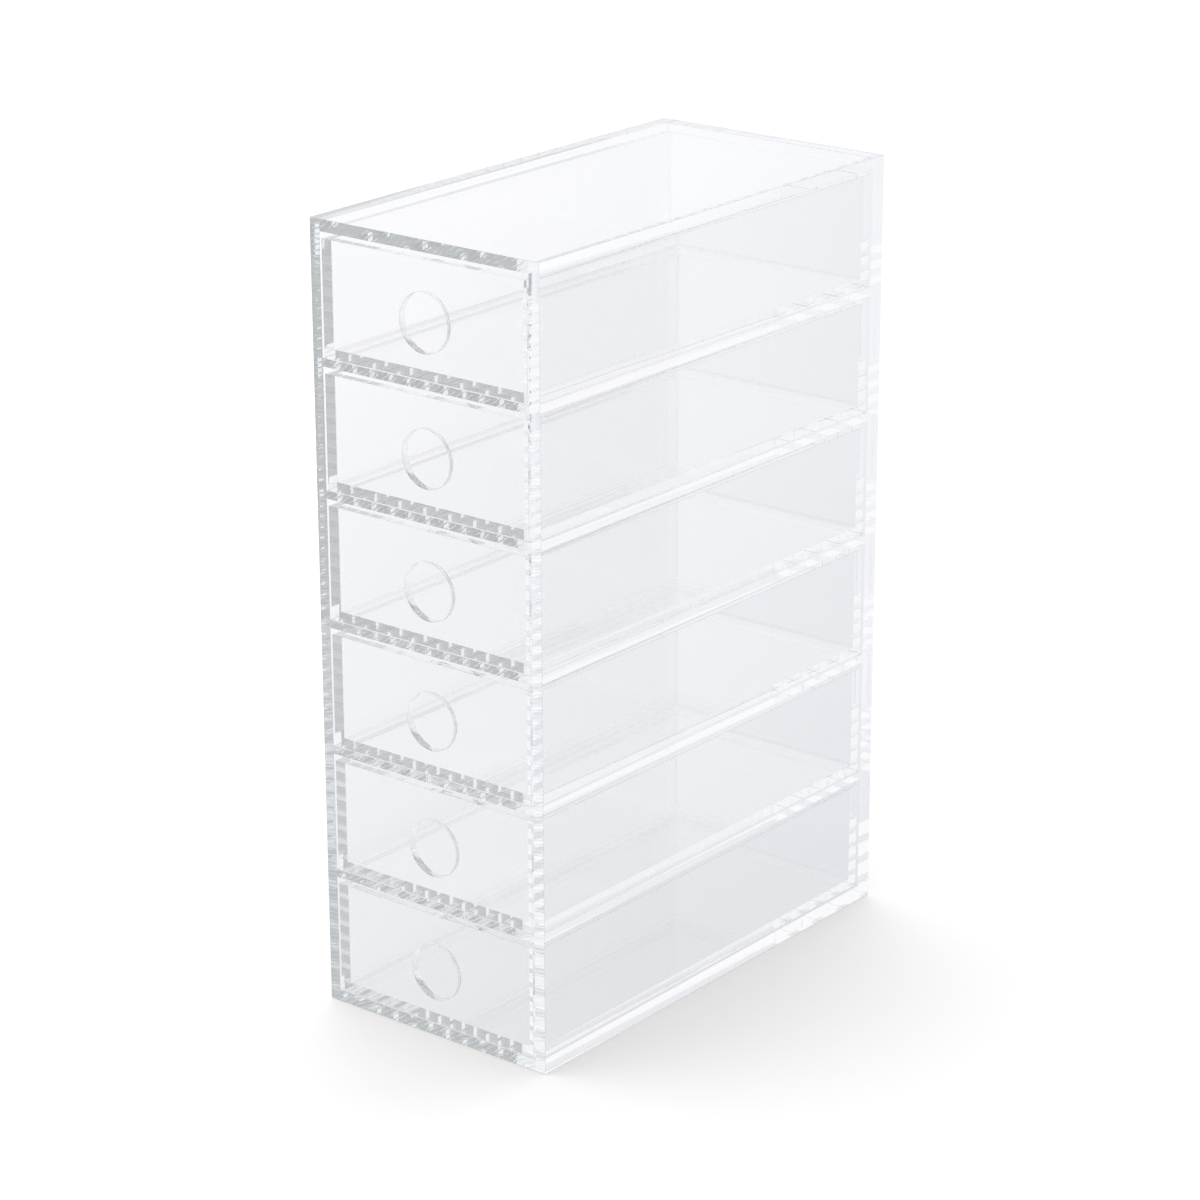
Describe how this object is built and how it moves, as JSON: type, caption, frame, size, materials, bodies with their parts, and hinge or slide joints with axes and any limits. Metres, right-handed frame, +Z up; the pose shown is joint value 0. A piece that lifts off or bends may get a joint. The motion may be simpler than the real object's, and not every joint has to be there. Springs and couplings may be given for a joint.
{
  "type": "washi tape drawer box",
  "caption": "Upright clear acrylic drawer box for washi tape; each open-topped drawer slides out by a round finger hole.",
  "frame": {"origin": "middle of the base, on the surface the box stands on", "axes": "+Z up (the longest side), +X across the front (the shortest side), the drawer fronts face -Y"},
  "size_m": [0.087, 0.17, 0.252],
  "materials": {
    "case_acrylic": "clear cast acrylic, polished faces and cut edges",
    "shelf_acrylic": "clear cast acrylic, polished faces, machined front edge",
    "drawer_acrylic": "clear cast acrylic, polished faces and finger hole rim"
  },
  "bodies": {
    "case": {"case_left_side": "case_acrylic", "case_right_side": "case_acrylic", "case_top": "case_acrylic", "case_bottom": "case_acrylic", "case_back": "case_acrylic", "shelf_1": "shelf_acrylic", "shelf_2": "shelf_acrylic", "shelf_3": "shelf_acrylic", "shelf_4": "shelf_acrylic", "shelf_5": "shelf_acrylic"},
    "drawer_1": {"drawer_1_front": "drawer_acrylic", "drawer_1_left_side": "drawer_acrylic", "drawer_1_right_side": "drawer_acrylic", "drawer_1_back": "drawer_acrylic", "drawer_1_bottom": "drawer_acrylic"},
    "drawer_2": {"drawer_2_front": "drawer_acrylic", "drawer_2_left_side": "drawer_acrylic", "drawer_2_right_side": "drawer_acrylic", "drawer_2_back": "drawer_acrylic", "drawer_2_bottom": "drawer_acrylic"},
    "drawer_3": {"drawer_3_front": "drawer_acrylic", "drawer_3_left_side": "drawer_acrylic", "drawer_3_right_side": "drawer_acrylic", "drawer_3_back": "drawer_acrylic", "drawer_3_bottom": "drawer_acrylic"},
    "drawer_4": {"drawer_4_front": "drawer_acrylic", "drawer_4_left_side": "drawer_acrylic", "drawer_4_right_side": "drawer_acrylic", "drawer_4_back": "drawer_acrylic", "drawer_4_bottom": "drawer_acrylic"},
    "drawer_5": {"drawer_5_front": "drawer_acrylic", "drawer_5_left_side": "drawer_acrylic", "drawer_5_right_side": "drawer_acrylic", "drawer_5_back": "drawer_acrylic", "drawer_5_bottom": "drawer_acrylic"},
    "drawer_6": {"drawer_6_front": "drawer_acrylic", "drawer_6_left_side": "drawer_acrylic", "drawer_6_right_side": "drawer_acrylic", "drawer_6_back": "drawer_acrylic", "drawer_6_bottom": "drawer_acrylic"}
  },
  "joints": [
    {"name": "drawer_1_slide", "type": "slide", "parent": "case", "child": "drawer_1", "axis": [0, -1, 0], "range_m": [0, 0.17]},
    {"name": "drawer_2_slide", "type": "slide", "parent": "case", "child": "drawer_2", "axis": [0, -1, 0], "range_m": [0, 0.17]},
    {"name": "drawer_3_slide", "type": "slide", "parent": "case", "child": "drawer_3", "axis": [0, -1, 0], "range_m": [0, 0.17]},
    {"name": "drawer_4_slide", "type": "slide", "parent": "case", "child": "drawer_4", "axis": [0, -1, 0], "range_m": [0, 0.17]},
    {"name": "drawer_5_slide", "type": "slide", "parent": "case", "child": "drawer_5", "axis": [0, -1, 0], "range_m": [0, 0.17]},
    {"name": "drawer_6_slide", "type": "slide", "parent": "case", "child": "drawer_6", "axis": [0, -1, 0], "range_m": [0, 0.17]}
  ]
}
